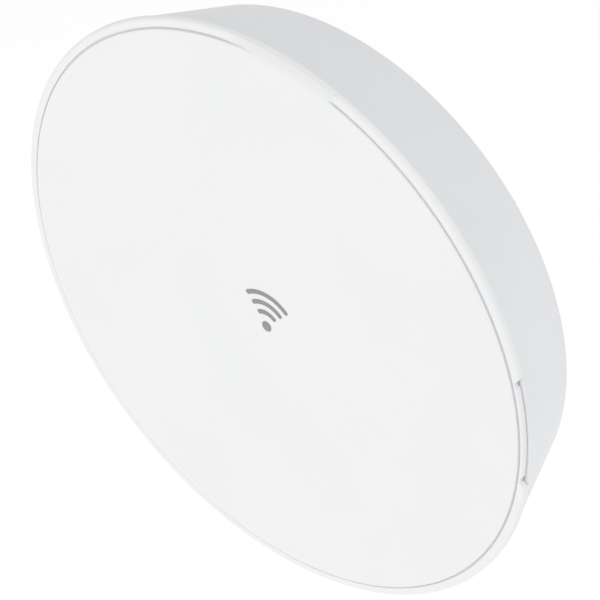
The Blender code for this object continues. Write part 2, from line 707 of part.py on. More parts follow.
def make_ethernet_jack():
    """Eight-way modular jack, its mouth facing down into the cable bay."""
    top = JACK_MOUTH_Z + JACK_DEPTH
    x0, x1 = -JACK_HEIGHT / 2, JACK_HEIGHT / 2
    y0, y1 = JACK_Y - JACK_WIDTH / 2, JACK_Y + JACK_WIDTH / 2
    jack = box("ethernet_jack", (x0, y0, JACK_MOUTH_Z), (x1, y1, top), zinc())
    mouth_half = 0.0059
    plug = box("plug_space", (x0 + JACK_WALL + 0.002, JACK_Y - mouth_half, JACK_MOUTH_Z - 0.002),
               (x1 - JACK_WALL, JACK_Y + mouth_half, JACK_MOUTH_Z + 0.0125), zinc())
    latch = box("latch_space", (x0 + JACK_WALL, JACK_Y - 0.0032, JACK_MOUTH_Z - 0.002),
                (x0 + JACK_WALL + 0.003, JACK_Y + 0.0032, JACK_MOUTH_Z + 0.0100), zinc())
    return cut(jack, plug, latch)


def make_reset_button():
    """Small plunger beside the jack, with a collar inside the tube wall."""
    wall_inside = -(FEED_RADIUS - FEED_WALL)
    tip = -FEED_RADIUS - 0.0006
    profile = [(0, tip), (0.8 * BUTTON_RADIUS, tip), (BUTTON_RADIUS, tip + 0.0004),
               (BUTTON_RADIUS, wall_inside + 0.0009), (1.7 * BUTTON_RADIUS, wall_inside + 0.0009),
               (1.7 * BUTTON_RADIUS, wall_inside + 0.0019), (BUTTON_RADIUS, wall_inside + 0.0019),
               (BUTTON_RADIUS, wall_inside + 0.0040), (0, wall_inside + 0.0040)]
    button = turned("reset_button", profile, rubber(), SMALL_SEGMENTS)
    button.rotation_euler = (math.pi / 2, 0, 0)
    button.location = (0, BUTTON_Y, 0)
    return button


def make_horn():
    """Turned aluminium waveguide in the tube's neck, with a flange behind the wall."""
    back = FEED_FRONT + FEED_WALL + GAP
    flange = 0.002
    inner = HORN_RADIUS - HORN_WALL
    profile = [(inner, HORN_FRONT), (HORN_RADIUS, HORN_FRONT), (HORN_RADIUS, back), (HORN_RADIUS + 0.0025, back),
               (HORN_RADIUS + 0.0025, back + flange), (inner, back + flange)]
    return turned("horn", profile, bare_aluminium())


def make_feed_cone():
    """Dielectric cone that plugs into the horn and carries the splash plate."""
    back, front = CONE_BACK, CONE_FRONT
    spigot = HORN_RADIUS - HORN_WALL - GAP
    profile = [(0, front), (SUB_RADIUS - 0.003, front), (SUB_RADIUS - 0.003, front + 0.0015),
               (HORN_RADIUS, back), (spigot, back), (spigot, back + 0.010), (0, back + 0.018)]
    return turned("feed_cone", profile, white_plastic())


def make_sub_reflector():
    """Pressed splash plate with a rolled edge."""
    front, back = PLATE_FRONT, PLATE_FRONT + SUB_SHEET
    profile = [(0, front), (SUB_RADIUS, front), (SUB_RADIUS, back + 0.0025),
               (SUB_RADIUS - SUB_SHEET, back + 0.0025), (SUB_RADIUS - SUB_SHEET, back), (0, back)]
    return turned("sub_reflector", profile, bare_aluminium())


def make_sub_reflector_cap():
    """Weather cap that clips over the splash plate."""
    inside = PLATE_FRONT - GAP
    inner = SUB_RADIUS + GAP
    outer = inner + CAP_SHELL
    profile = [(0, inside - CAP_SHELL), (outer - 0.003, inside - CAP_SHELL), (outer - 0.0009, inside - CAP_SHELL + 0.0009),
               (outer, inside - CAP_SHELL + 0.003), (outer, inside + CAP_DEPTH), (inner, inside + CAP_DEPTH),
               (inner, inside), (0, inside)]
    return turned("sub_reflector_cap", profile, white_plastic())


# Dish


def bowl_front(radius):
    """Y of the reflecting surface at a radius: the flat's height plus the paraboloid's rise."""
    return FLAT_FRONT - (radius**2 - FLAT_RADIUS**2) / (4 * FOCAL_LENGTH)


def make_reflector():
    """Deep-drawn steel paraboloid with a flat centre and a flat outer flange."""
    look = white_coat()
    hole = FEED_RADIUS + FEED_HOLE_SLACK
    radii = [FLAT_RADIUS + (APERTURE_RADIUS - FLAT_RADIUS) * i / BOWL_STEPS for i in range(BOWL_STEPS + 1)]
    front = [(hole, FLAT_FRONT)] + [(r, bowl_front(r)) for r in radii] + [(FLANGE_RADIUS, FLANGE_FRONT)]
    back = [(FLANGE_RADIUS, FLANGE_FRONT + REFLECTOR_SHEET)]
    for r in reversed(radii):
        slope = r / (2 * FOCAL_LENGTH) if r > FLAT_RADIUS else 0
        shift = REFLECTOR_SHEET / math.hypot(1, slope)
        back.append((r + slope * shift, bowl_front(r) + shift))
    back[1] = (back[1][0], FLANGE_FRONT + REFLECTOR_SHEET)
    reflector = turned("reflector", front + back + [(hole, FLAT_BACK)], look, RING_SEGMENTS)
    cut(reflector, *housing_bolt_holes(FLAT_FRONT - 0.01, FLAT_BACK + 0.01, look))
    return cut(reflector, *shroud_screw_holes(look))


def shroud_screw_places():
    radius = (APERTURE_RADIUS + FLANGE_RADIUS) / 2
    return circle((0, 0), radius, SHROUD_SCREWS, math.pi / SHROUD_SCREWS + math.pi / RING_SEGMENTS)


def shroud_screw_holes(look):
    y_low, y_high = FLANGE_FRONT - 0.01, FLANGE_FRONT + 0.01
    return [rod("screw_hole", SCREW_RADIUS + GAP, y_low, y_high, look, "Y", place, 12)
            for place in shroud_screw_places()]


def make_shroud():
    """Spun metal cone: an inner ledge in front of the reflector's flange and a turned-in front hem."""
    look = white_coat()
    w = SHROUD_WALL
    hem_back = SHROUD_FRONT + SHROUD_HEM_DEPTH
    wall_at_hem = SHROUD_FRONT_RADIUS - w - SHROUD_FLARE * SHROUD_HEM_DEPTH / SHROUD_DEPTH
    foot = APERTURE_RADIUS + 0.0005
    inside = LEDGE_RADIUS
    profile = [(foot, LEDGE_BACK), (inside, LEDGE_BACK), (SHROUD_REAR_RADIUS - w, SHROUD_BACK),
               (SHROUD_REAR_RADIUS - 0.3 * w, SHROUD_BACK), (SHROUD_REAR_RADIUS, SHROUD_BACK - 0.7 * w),
               (SHROUD_FRONT_RADIUS, SHROUD_FRONT + 0.0008), (SHROUD_FRONT_RADIUS - 0.0006, SHROUD_FRONT),
               (HEM_RADIUS, SHROUD_FRONT), (HEM_RADIUS, hem_back), (wall_at_hem, hem_back),
               (inside + LEDGE_RISE, LEDGE_BACK - w), (foot, LEDGE_BACK - w)]
    shroud = turned("shroud", profile, look, RING_SEGMENTS)
    return cut(shroud, *shroud_screw_holes(look))


def make_shroud_screws():
    """Pan-head screws from behind the flange into the shroud's foot."""
    screws = []
    head_height = 0.0022
    for number, (x, z) in enumerate(shroud_screw_places(), 1):
        profile = [(0, head_height), (0.6 * SCREW_HEAD_RADIUS, 0.95 * head_height),
                   (SCREW_HEAD_RADIUS, 0.45 * head_height), (SCREW_HEAD_RADIUS, 0), (SCREW_RADIUS, 0),
                   (SCREW_RADIUS, -0.0055), (0.6 * SCREW_RADIUS, -0.0062), (0, -0.0062)]
        screw = turned(f"shroud_screw_{number}", profile, zinc(), 12)
        screw.location = (x, FLANGE_FRONT + REFLECTOR_SHEET + GAP, z)
        screws.append(screw)
    return screws


def make_radome_seal():
    """Rubber ring between the shroud's hem and the radome's lip."""
    back = SHROUD_FRONT - GAP
    inner, outer = HEM_RADIUS + GAP, SHROUD_FRONT_RADIUS - 0.0006
    profile = [(inner, back - SEAL), (outer, back - SEAL), (outer, back), (inner, back)]
    return turned("radome_seal", profile, rubber(), RING_SEGMENTS)


def make_radome():
    """Moulded cover: raised face, a lip over the shroud's hem and an inner skirt with snap tabs."""
    look = white_plastic()
    shoulder = RADOME_RADIUS - RADOME_LIP
    rise, w = RADOME_RISE, RADOME_WALL
    outer_arc = circle((shoulder - rise, RADOME_FACE + rise), rise, 5, -math.pi / 2, math.pi / 2)
    skirt_back, skirt_inner = LIP_BACK + RADOME_SKIRT, SKIRT_RADIUS - SKIRT_WALL
    edge = 0.0008
    outside = [(0, RADOME_FACE)] + outer_arc + [
        (RADOME_RADIUS - edge, LIP_FRONT), (RADOME_RADIUS, LIP_FRONT + edge), (RADOME_RADIUS, LIP_BACK)]
    inside = [(SKIRT_RADIUS, LIP_BACK), (SKIRT_RADIUS, skirt_back), (skirt_inner, skirt_back),
              (skirt_inner, LIP_BACK), (skirt_inner - w, RADOME_FACE + w), (0, RADOME_FACE + w)]
    radome = turned("radome", outside + inside, look, RING_SEGMENTS)
    for centre in TAB_TURNS:
        for side in (-1, 1):
            slot = box("tab_slot", (skirt_inner - 0.001, LIP_BACK + TAB_SLOT_START, -TAB_SLOT / 2),
                       (SKIRT_RADIUS + 0.001, skirt_back + 0.003, TAB_SLOT / 2), look)
            slot.data.transform(Matrix.Rotation(-(centre + side * TAB_HALF_ANGLE), 4, "Y"))
            cut(radome, slot)
    return radome


def build():
    clear_scene()
    make_pole_bracket()
    jaw = make_clamp_jaw()
    _, clamp_nuts = make_clamp_fasteners()
    carry(empty("clamp_slide", (0, -WEB_BACK, 0)), jaw, *clamp_nuts)
    tilt = empty("elevation_pivot", (0, PIVOT_Y, DISH_PIVOT_Z))
    radome_lift = empty("radome_lift", (0, RADOME_FACE, 0))
    cover_slide = empty("cover_slide", (0, HOUSING_BACK, BAY_TOP))
    button_press = empty("button_press", (0, BUTTON_Y, -FEED_RADIUS))
    carry(radome_lift, make_radome())
    carry(cover_slide, make_port_cover(), make_cable_grommet())
    carry(button_press, make_reset_button())
    carry(tilt, make_dish_bracket(), *make_tilt_fasteners(), make_rear_housing(),
          make_housing_gasket(), *make_housing_fasteners(), make_feed_tube(), make_feed_end_cap(),
          make_status_lens(), make_main_board(), make_shield_can(), make_ethernet_jack(), make_horn(),
          make_feed_cone(), make_sub_reflector(), make_sub_reflector_cap(), make_reflector(),
          make_shroud(), *make_shroud_screws(), make_radome_seal(), radome_lift, cover_slide,
          button_press)
    tilt.location.z += AXIS_HEIGHT


build()
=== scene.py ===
"""Looks of the outdoor wireless bridge: each piece's fine surface and finish, built round the
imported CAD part."""
import json
import math

import bmesh
import bpy
import numpy as np
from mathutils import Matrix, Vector

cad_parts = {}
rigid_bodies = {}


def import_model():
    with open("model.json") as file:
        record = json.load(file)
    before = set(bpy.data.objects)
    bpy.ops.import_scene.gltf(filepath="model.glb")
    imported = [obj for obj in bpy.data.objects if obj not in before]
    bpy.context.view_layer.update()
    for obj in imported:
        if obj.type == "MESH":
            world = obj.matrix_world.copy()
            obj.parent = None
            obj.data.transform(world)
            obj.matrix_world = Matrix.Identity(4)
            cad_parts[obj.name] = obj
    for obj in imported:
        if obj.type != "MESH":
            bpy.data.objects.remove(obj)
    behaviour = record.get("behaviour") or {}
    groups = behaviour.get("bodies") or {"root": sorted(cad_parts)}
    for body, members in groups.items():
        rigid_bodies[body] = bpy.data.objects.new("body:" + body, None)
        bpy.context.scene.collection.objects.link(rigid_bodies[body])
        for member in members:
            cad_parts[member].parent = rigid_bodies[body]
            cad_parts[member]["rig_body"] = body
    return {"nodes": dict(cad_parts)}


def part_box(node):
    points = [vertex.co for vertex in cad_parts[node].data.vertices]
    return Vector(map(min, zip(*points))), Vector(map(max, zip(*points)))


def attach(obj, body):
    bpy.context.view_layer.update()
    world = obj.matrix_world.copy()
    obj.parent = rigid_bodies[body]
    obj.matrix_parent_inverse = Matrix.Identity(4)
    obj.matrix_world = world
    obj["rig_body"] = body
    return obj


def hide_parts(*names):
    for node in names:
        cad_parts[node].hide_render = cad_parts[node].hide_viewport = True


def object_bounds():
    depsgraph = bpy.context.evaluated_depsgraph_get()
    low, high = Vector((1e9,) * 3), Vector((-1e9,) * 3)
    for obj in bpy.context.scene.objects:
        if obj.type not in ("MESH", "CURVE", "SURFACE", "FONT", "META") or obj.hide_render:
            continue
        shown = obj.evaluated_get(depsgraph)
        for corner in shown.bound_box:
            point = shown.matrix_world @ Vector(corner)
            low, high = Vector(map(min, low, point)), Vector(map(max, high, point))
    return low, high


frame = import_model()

cad_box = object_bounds()

# ---------------------------------------------------------------------------------------------
# Pole bracket and clamp jaw: the two 3 mm steel pressings that grip the pole between V flanges.
# Cut and folded from sheet, then hot-dip galvanised, so they are grey with faint zinc crystals.


def linear(colour):
    """A '#rrggbb' sRGB colour as linear RGBA: each channel through the sRGB decoding curve."""
    channels = np.array([int(colour[i:i + 2], 16) for i in (1, 3, 5)]) / 255
    curved = ((channels + 0.055) / 1.055) ** 2.4
    return (*np.where(channels < 0.04045, channels / 12.92, curved), 1.0)


def add(tree, kind, settings=None, **inputs):
    """Adds a shader node. Its inputs are values or other sockets, each given by the socket's name,
    with _ for a space, or by its number after a _."""
    made = tree.nodes.new("ShaderNode" + kind)
    for key, value in (settings or {}).items():
        setattr(made, key, value)
    for key, value in inputs.items():
        socket = made.inputs[int(key[1:]) if key[1:].isdigit() else key.replace("_", " ")]
        if isinstance(value, bpy.types.NodeSocket):
            tree.links.new(value, socket)
        else:
            socket.default_value = value
    return made


def coating(name, metallic=0.0, ior=1.5, **fixed):
    """A new Principled material with its tree and its Object coordinates. Settings that are the
    same all over go straight onto the shader's sockets."""
    made = bpy.data.materials.new(name)
    made.use_nodes = True
    tree = made.node_tree
    sockets = tree.nodes["Principled BSDF"].inputs
    sockets["Metallic"].default_value = metallic
    sockets["IOR"].default_value = ior
    for key, value in fixed.items():
        sockets[key.replace("_", " ")].default_value = value
    return made, tree, add(tree, "TexCoord").outputs["Object"]


def finished(made, share, colours, gloss, roughness, height=None, depth=0.0, limits=(0.3, 0.7)):
    """Links patterns into a material's shader: a colour mixed by share from two hex values, a
    roughness mapped from the gloss pattern's limits, and a normal raised by height x depth metres.
    Noise seldom leaves 0.3 to 0.7, so those are its limits."""
    tree = made.node_tree
    shader = tree.nodes["Principled BSDF"].inputs
    mixed = add(tree, "Mix", {"data_type": "RGBA"}, _0=share, _6=linear(colours[0]),
                _7=linear(colours[1]))
    tree.links.new(mixed.outputs[2], shader["Base Color"])
    mapped = add(tree, "MapRange", None, Value=gloss, From_Min=limits[0], From_Max=limits[1],
                 To_Min=roughness[0], To_Max=roughness[1])
    tree.links.new(mapped.outputs[0], shader["Roughness"])
    if height:
        raised = add(tree, "Bump", None, Height=height, Distance=depth, Strength=1.0)
        tree.links.new(raised.outputs[0], shader["Normal"])
    return made


def softened(node, look, slot, edge=0.0004, turn_limit=35):
    """The CAD node's own shape in one piece: a merged copy, with the flat triangles of each side
    dissolved into one face, whose edges sharper than the turn limit a Bevel rounds by edge."""
    source = frame["nodes"][node]
    bm = bmesh.new()
    bm.from_mesh(source.data)
    bmesh.ops.remove_doubles(bm, verts=bm.verts, dist=1e-6)
    bmesh.ops.dissolve_limit(bm, angle_limit=math.radians(1), verts=bm.verts, edges=bm.edges)
    mesh = bpy.data.meshes.new(node + "_shape")
    bm.to_mesh(mesh)
    bm.free()
    mesh.materials.clear()
    mesh.shade_smooth()
    mesh.set_sharp_from_angle(angle=math.radians(turn_limit))
    piece = bpy.data.objects.new(node + "_piece", mesh)
    bpy.context.scene.collection.objects.link(piece)
    if edge:
        bevel = piece.modifiers.new("rounded_edges", "BEVEL")
        bevel.width, bevel.segments, bevel.limit_method = edge, 2, "ANGLE"
        bevel.angle_limit = math.radians(turn_limit)
        bevel.harden_normals = True
    return placed(piece, look, slot, node)


def placed(piece, look, slot, *nodes):
    """Gives the piece its finish, hides its CAD nodes and rides the piece on the body that the
    first of them rides on. The slot is not used."""
    piece.data.materials.append(look)
    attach(piece, frame["nodes"][nodes[0]]["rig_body"])
    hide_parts(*nodes)
    return piece


def galvanised_steel():
    """Hot-dip zinc: 8 mm crystals that differ a little in tone and gloss, with 1 mm mottling."""
    made, tree, place = coating("hot_dip_galvanised_steel", metallic=1.0)
    crystal = add(tree, "TexVoronoi", None, Vector=place, Scale=1 / 0.008)
    tone = add(tree, "SeparateColor", None, Color=crystal.outputs["Color"]).outputs[0]
    mottle = add(tree, "TexNoise", None, Vector=place, Scale=1 / 0.001, Detail=3).outputs["Fac"]
    both = add(tree, "Math", {"operation": "ADD"}, _0=tone, _1=mottle).outputs[0]
    share = add(tree, "MapRange", None, Value=both, From_Min=0.3, From_Max=1.6).outputs[0]
    return finished(made, share, ("#a3a8ac", "#c6cace"), both, (0.34, 0.52), mottle, 0.00004,
                    (0.2, 1.6))


GALVANISED = galvanised_steel()
softened("pole_bracket", GALVANISED, "galvanised_steel")
softened("clamp_jaw", GALVANISED, "galvanised_steel")

# ---------------------------------------------------------------------------------------------
# Clamp fasteners: two M8 cup-head bolts with rolled threads and two flange nuts with a hexagon
# turned off to a chamfer. Bright zinc-plated steel, so smooth grey metal with soft blotches. The
# bolts are cut back by 2 mm, so that no tip stands out past the dish's rim.

M8, M8_HEAD, M8_HEAD_HEIGHT, M8_PITCH, M8_PLAIN = 0.004, 0.0078, 0.0040, 0.00125, 0.034
CUT_BACK = 0.002
THREAD_DEPTH, STEPS_PER_PITCH, TIP = 0.54, 8, 0.0002


def rounded(*corners, steps=5):
    """A closed profile through corners (radius, place, fillet). Each corner becomes the quadratic
    curve that leaves one side a fillet before the corner and joins the next a fillet after it."""
    table = np.array(corners, float)
    points, fillet = table[:, :2], table[:, 2, None]
    into, out = np.roll(points, 1, 0) - points, np.roll(points, -1, 0) - points
    start = points + into / np.maximum(np.linalg.norm(into, axis=1, keepdims=True), 1e-9) * fillet
    end = points + out / np.maximum(np.linalg.norm(out, axis=1, keepdims=True), 1e-9) * fillet
    t = np.linspace(0, 1, steps)[None, :, None]
    curves = ((1 - t) ** 2 * start[:, None] + 2 * t * (1 - t) * points[:, None]
              + t ** 2 * end[:, None])
    chain = curves.reshape(-1, 2)
    return chain[np.linalg.norm(chain - np.roll(chain, 1, 0), axis=1) > 1e-7]


def skin(name, points, sharp=32):
    """A closed surface over a grid (rows, columns, 3) that joins up both ways. Points that fall
    together, such as those at a pole, are merged, and flat leftovers go."""
    rows, columns = points.shape[:2]
    i, j = np.meshgrid(np.arange(rows), np.arange(columns), indexing="ij")
    down, across = (i + 1) % rows, (j + 1) % columns
    faces = np.stack([i * columns + j, down * columns + j, down * columns + across,
                      i * columns + across], -1)
    mesh = bpy.data.meshes.new(name)
    mesh.from_pydata(points.reshape(-1, 3).tolist(), [], faces.reshape(-1, 4).tolist())
    bm = bmesh.new()
    bm.from_mesh(mesh)
    bmesh.ops.remove_doubles(bm, verts=bm.verts, dist=2e-7)
    loose = [e for e in bm.edges if not e.link_faces]
    bmesh.ops.delete(bm, geom=loose, context="EDGES")
    bmesh.ops.recalc_face_normals(bm, faces=bm.faces)
    bm.to_mesh(mesh)
    bm.free()
    mesh.shade_smooth()
    mesh.set_sharp_from_angle(angle=math.radians(sharp))
    piece = bpy.data.objects.new(name, mesh)
    bpy.context.scene.collection.objects.link(piece)
    return piece


def lathe(name, profile, columns, place, along=(0, 1, 0), rule=None, sharp=32):
    """Surface of revolution: the point at angle a is place + depth x along + radius x (cos a x
    side + sin a x up). A rule may change the radii and depths by their angle before that."""
    angle = np.linspace(0, 2 * np.pi, columns, endpoint=False)[None, :]
    radius, depth = (np.repeat(profile[:, k, None], columns, 1) for k in (0, 1))
    if rule:
        radius, depth = rule(radius, depth, angle)
    along = np.array(along, float)
    side = np.array([1.0, 0, 0]) if abs(along[1]) > 0.5 else np.array([0, 1.0, 0])
    up = np.array([0, 0, 1.0])
    points = np.array(place) + depth[..., None] * along + radius[..., None] * (
        np.cos(angle)[..., None] * side + np.sin(angle)[..., None] * up)
    return skin(name, points, sharp)


def seat(node, along, inset=0.0):
    """The point on a fastener's axis that lies inset metres past its first end, going along."""
    low, high = (np.array(corner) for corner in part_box(node))
    middle, along = (low + high) / 2, np.array(along, float)
    half = (high - low) / 2
    return middle - along * (np.abs(along) @ half) + along * inset


def across_flats(radius, angle, flat):
    """Radius cut to a regular hexagon: flat / cos of the angle from the nearest flat's middle."""
    return np.minimum(radius, flat / np.cos((angle + np.pi / 6) % (np.pi / 3) - np.pi / 6))


def cup_bolt(node, along, radius, head, head_height, pitch, plain, short=0.0):
    """Low domed head, its corners shares of the head's size, and a shank. Past its plain part the
    radius dips by a triangle wave of depth / pitch - angle / 2 pi, which winds a 60 degree
    thread."""
    low, high = (np.array(corner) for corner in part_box(node))
    length = np.abs(np.array(along)) @ (high - low) - head_height - short
    thread = THREAD_DEPTH * pitch
    dome = rounded((0, -head_height, 0), (0.55 * head, -head_height, 0.3 * head),
                   (0.97 * head, -0.35 * head_height, 0.25 * head), (head, 0, 0.0002),
                   (radius, 0, 0), (0, 0, 0))
    dome = dome[(dome[:, 0] > radius * 0.999) | (dome[:, 1] < -0.9 * head_height)]
    turns = np.arange(plain, length - radius * 0.3, pitch / STEPS_PER_PITCH)
    shank = np.column_stack([np.full_like(turns, radius), turns])
    tip = [[radius * 0.8, length - TIP / 2], [0, length]]
    profile = np.vstack([dome, shank, tip])

    def wound(r, d, a):
        wave = np.abs((d / pitch - a / (2 * np.pi)) % 1 * 2 - 1)
        runout = np.clip((d - plain) / pitch, 0, 1) * (d < length - TIP)
        return r - thread * wave * runout, d

    bolt = lathe(node + "_threaded", profile, 40, seat(node, along, head_height), along, wound, 40)
    return placed(bolt, ZINC, "plated_steel", node)


def flange_nut(node, along, radius):
    """Hexagon on a round washer face: the turned profile, in shares of the thread's radius, is cut
    to the hexagon above the washer."""
    flat, washer, height, flange = 1.6 * radius, 2.2 * radius, 1.9 * radius, 0.4 * radius
    corner, top, bore = 1.86 * radius, 1.62 * radius, radius + 0.0003
    profile = rounded((bore, 0, 0.0002), (washer, 0, 0.0002), (washer, 0.55 * flange, 0.0003),
                      (corner, flange * 1.25, 0.0004), (corner, height - 0.18 * radius, 0.0002),
                      (top, height, 0.0002), (bore, height, 0.0003))

    def hexagon(r, d, a):
        share = np.clip((d - flange) / (0.4 * flange), 0, 1) * (r > bore * 1.1)
        return r + share * (across_flats(r, a, flat) - r), d

    nut = lathe(node + "_hexagon", profile, 96, seat(node, along), along, hexagon, 28)
    return placed(nut, ZINC, "plated_steel", node)


def zinc_plate():
    """Bright zinc plate: soft 3 mm blotches of tone and gloss with fine 0.3 mm handling marks."""
    made, tree, place = coating("bright_zinc_plated_steel", metallic=1.0)
    blotch = add(tree, "TexNoise", None, Vector=place, Scale=1 / 0.003, Detail=3).outputs["Fac"]
    fine = add(tree, "TexNoise", None, Vector=place, Scale=1 / 0.0003, Detail=2).outputs["Fac"]
    return finished(made, blotch, ("#b4b8bd", "#d3d6da"), blotch, (0.22, 0.36), fine, 0.000008)


ZINC = zinc_plate()
for end in ("left", "right"):
    cup_bolt(f"clamp_bolt_{end}", (0, 1, 0), M8, M8_HEAD, M8_HEAD_HEIGHT, M8_PITCH, M8_PLAIN,
             CUT_BACK)
    flange_nut(f"clamp_nut_{end}", (0, 1, 0), M8)

# ---------------------------------------------------------------------------------------------
# Dish bracket: the folded steel yoke behind the housing, with a pivot hole and an arc slot in
# each ear. Powder coated the dish's white, so it has that coat's fine orange peel.


def powder_coat():
    """White polyester powder on steel: 1.6 mm orange peel, faint 60 mm drift of tone, satin."""
    made, tree, place = coating("white_polyester_powder_coat", ior=1.5)
    peel = add(tree, "TexNoise", None, Vector=place, Scale=1 / 0.0016, Detail=2).outputs["Fac"]
    drift = add(tree, "TexNoise", None, Vector=place, Scale=1 / 0.06, Detail=2).outputs["Fac"]
    return finished(made, drift, ("#e7e8ea", "#ecedef"), peel, (0.40, 0.50), peel, 0.00003)


POWDER = powder_coat()
softened("dish_bracket", POWDER, "coated_steel")

# ---------------------------------------------------------------------------------------------
# Tilt fasteners: M6 pivot and lock bolts whose low heads sit inside the yoke, with flange nuts
# outside the pole bracket's ears. The same bright zinc plate as the clamp's.

M6, M6_HEAD, M6_HEAD_HEIGHT, M6_PITCH, M6_PLAIN = 0.003, 0.0062, 0.0030, 0.0010, 0.0065

for role in ("pivot", "lock"):
    for end, outward in (("left", -1), ("right", 1)):
        cup_bolt(f"{role}_bolt_{end}", (outward, 0, 0), M6, M6_HEAD, M6_HEAD_HEIGHT, M6_PITCH,
                 M6_PLAIN)
        flange_nut(f"{role}_nut_{end}", (outward, 0, 0), M6)

# ---------------------------------------------------------------------------------------------
# Rear housing with its port bay, and the sliding port cover: injection-moulded ASA in the dish's
# white. The mould's fine spark texture keeps them nearly matt.


def moulded_plastic():
    """UV-stable ASA: 0.6 mm spark texture, drawn a little coarse so that it shows, matt satin."""
    made, tree, place = coating("moulded_white_asa", ior=1.52)
    grain = add(tree, "TexNoise", None, Vector=place, Scale=1 / 0.0006, Detail=3).outputs["Fac"]
    drift = add(tree, "TexNoise", None, Vector=place, Scale=1 / 0.03, Detail=2).outputs["Fac"]
    return finished(made, drift, ("#e6e7e9", "#ecedef"), grain, (0.44, 0.56), grain, 0.00002)


MOULDED = moulded_plastic()
softened("rear_housing", MOULDED, "moulded_plastic", 0.0007)
softened("port_cover", MOULDED, "moulded_plastic", 0.0004)

# ---------------------------------------------------------------------------------------------
# Housing gasket and cable grommet: cut and moulded EPDM rubber, dull charcoal with a bloom of
# dust, between the housing and the bowl and in the port cover's cable slot.


def epdm_rubber():
    """EPDM: 0.4 mm sparkle of talc on charcoal and soft 5 mm patches of bloom."""
    made, tree, place = coating("black_epdm_rubber", ior=1.52)
    talc = add(tree, "TexNoise", None, Vector=place, Scale=1 / 0.0004, Detail=3).outputs["Fac"]
    bloom = add(tree, "TexNoise", None, Vector=place, Scale=1 / 0.005, Detail=3).outputs["Fac"]
    return finished(made, bloom, ("#232426", "#343537"), talc, (0.62, 0.82), talc, 0.00003)


RUBBER = epdm_rubber()
softened("housing_gasket", RUBBER, "rubber", 0.0003)
softened("cable_grommet", RUBBER, "rubber", 0.0005)

# ---------------------------------------------------------------------------------------------
# Housing fasteners: four M6 cup-head bolts from behind the yoke, through the housing and the
# bowl, into flange nuts on the bowl's flat centre.

HOUSING_PLAIN = 0.028

for number in (1, 2, 3, 4):
    cup_bolt(f"housing_bolt_{number}", (0, -1, 0), M6, M6_HEAD, M6_HEAD_HEIGHT, M6_PITCH,
             HOUSING_PLAIN)
    flange_nut(f"housing_nut_{number}", (0, -1, 0), M6)

# ---------------------------------------------------------------------------------------------
# Radio board, its shield can and its jack: green FR4 laminate with copper tracks under solder
# mask, a tinned folded can, and a jack in a tinned shield of its own. Inside the feed tube.


def solder_mask():
    """Green mask over 1.2 mm copper tracks, which lift it and show a lighter green."""
    made, tree, place = coating("green_solder_mask_on_fr4", ior=1.5)
    turned = add(tree, "Mapping", None, Vector=place, Rotation=(0, math.pi / 2, 0)).outputs[0]
    track = add(tree, "TexBrick", {"offset": 0.5}, Vector=turned, Scale=1 / 0.0048,
                Mortar_Size=0.06).outputs["Fac"]
    return finished(made, track, ("#1d5a34", "#2f7d49"), track, (0.28, 0.38), track, 0.00003,
                    (0, 1))


def tinned_steel():
    """Tin plate: rolled sheet with 0.5 mm streaks along one way and soft tone."""
    made, tree, place = coating("tinned_steel_sheet", metallic=1.0)
    stretched = add(tree, "Mapping", None, Vector=place, Scale=(1, 0.08, 1)).outputs[0]
    streak = add(tree, "TexNoise", None, Vector=stretched, Scale=1 / 0.0005,
                 Detail=3).outputs["Fac"]
    return finished(made, streak, ("#bfc1c1", "#dadbd8"), streak, (0.24, 0.4), streak, 0.00001)


TINNED = tinned_steel()
softened("main_board", solder_mask(), "board_laminate", 0)
softened("shield_can", TINNED, "plated_steel", 0.0003)
softened("ethernet_jack", TINNED, "plated_steel", 0.0003)

# ---------------------------------------------------------------------------------------------
# Feed tube, its end cap and reset button: more of the moulded ASA. The status lens in the cap is
# clear polycarbonate, polished in the mould, with a little haze from its light-diffusing filler.


def clear_lens():
    """Clear polycarbonate, IOR 1.58: nearly all light passes, with 0.5 mm haze in its gloss."""
    made, tree, place = coating("clear_polycarbonate", ior=1.58, Transmission_Weight=0.9)
    haze = add(tree, "TexNoise", None, Vector=place, Scale=1 / 0.0005, Detail=3).outputs["Fac"]
    return finished(made, haze, ("#eef2f2", "#f8fafa"), haze, (0.12, 0.24))


softened("feed_tube", MOULDED, "moulded_plastic", 0.0004)
softened("feed_end_cap", MOULDED, "moulded_plastic", 0.0003)
softened("status_lens", clear_lens(), "clear_plastic", 0.0003)
softened("reset_button", MOULDED, "moulded_plastic", 0.0002)

# ---------------------------------------------------------------------------------------------
# Horn and splash plate: a turned aluminium waveguide in the tube's neck and a pressed plate in
# front of it. Left bare, so the lathe's fine rings round the boresight catch the light.

AXIS = sum(corner[2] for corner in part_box("radome")) / 2
HORN_OUTER, HORN_INNER, HORN_FLANGE = 0.0165, 0.0150, 0.0020


def turned_aluminium():
    """Aluminium with concentric tool marks: a wave of the distance from the boresight, one ring
    every 0.5 mm, coarser than a real finishing cut so that it shows."""
    made, tree, place = coating("turned_aluminium", metallic=1.0)
    centred = add(tree, "Mapping", None, Vector=place, Location=(0, 0, -AXIS),
                  Scale=(1, 0, 1)).outputs[0]
    away = add(tree, "VectorMath", {"operation": "LENGTH"}, Vector=centred).outputs["Value"]
    turn = add(tree, "Math", {"operation": "MULTIPLY"}, _0=away, _1=2 * math.pi / 0.0005)
    ring = add(tree, "Math", {"operation": "SINE"}, _0=turn.outputs[0]).outputs[0]
    blotch = add(tree, "TexNoise", None, Vector=place, Scale=1 / 0.004, Detail=3).outputs["Fac"]
    return finished(made, blotch, ("#c3c5c7", "#dadcde"), blotch, (0.2, 0.34), ring, 0.000006)


def on_boresight(node):
    """The point on the boresight level with a node's front, and the node's depth and radius."""
    low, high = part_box(node)
    return (0, low[1], AXIS), high[1] - low[1], (high[0] - low[0]) / 2


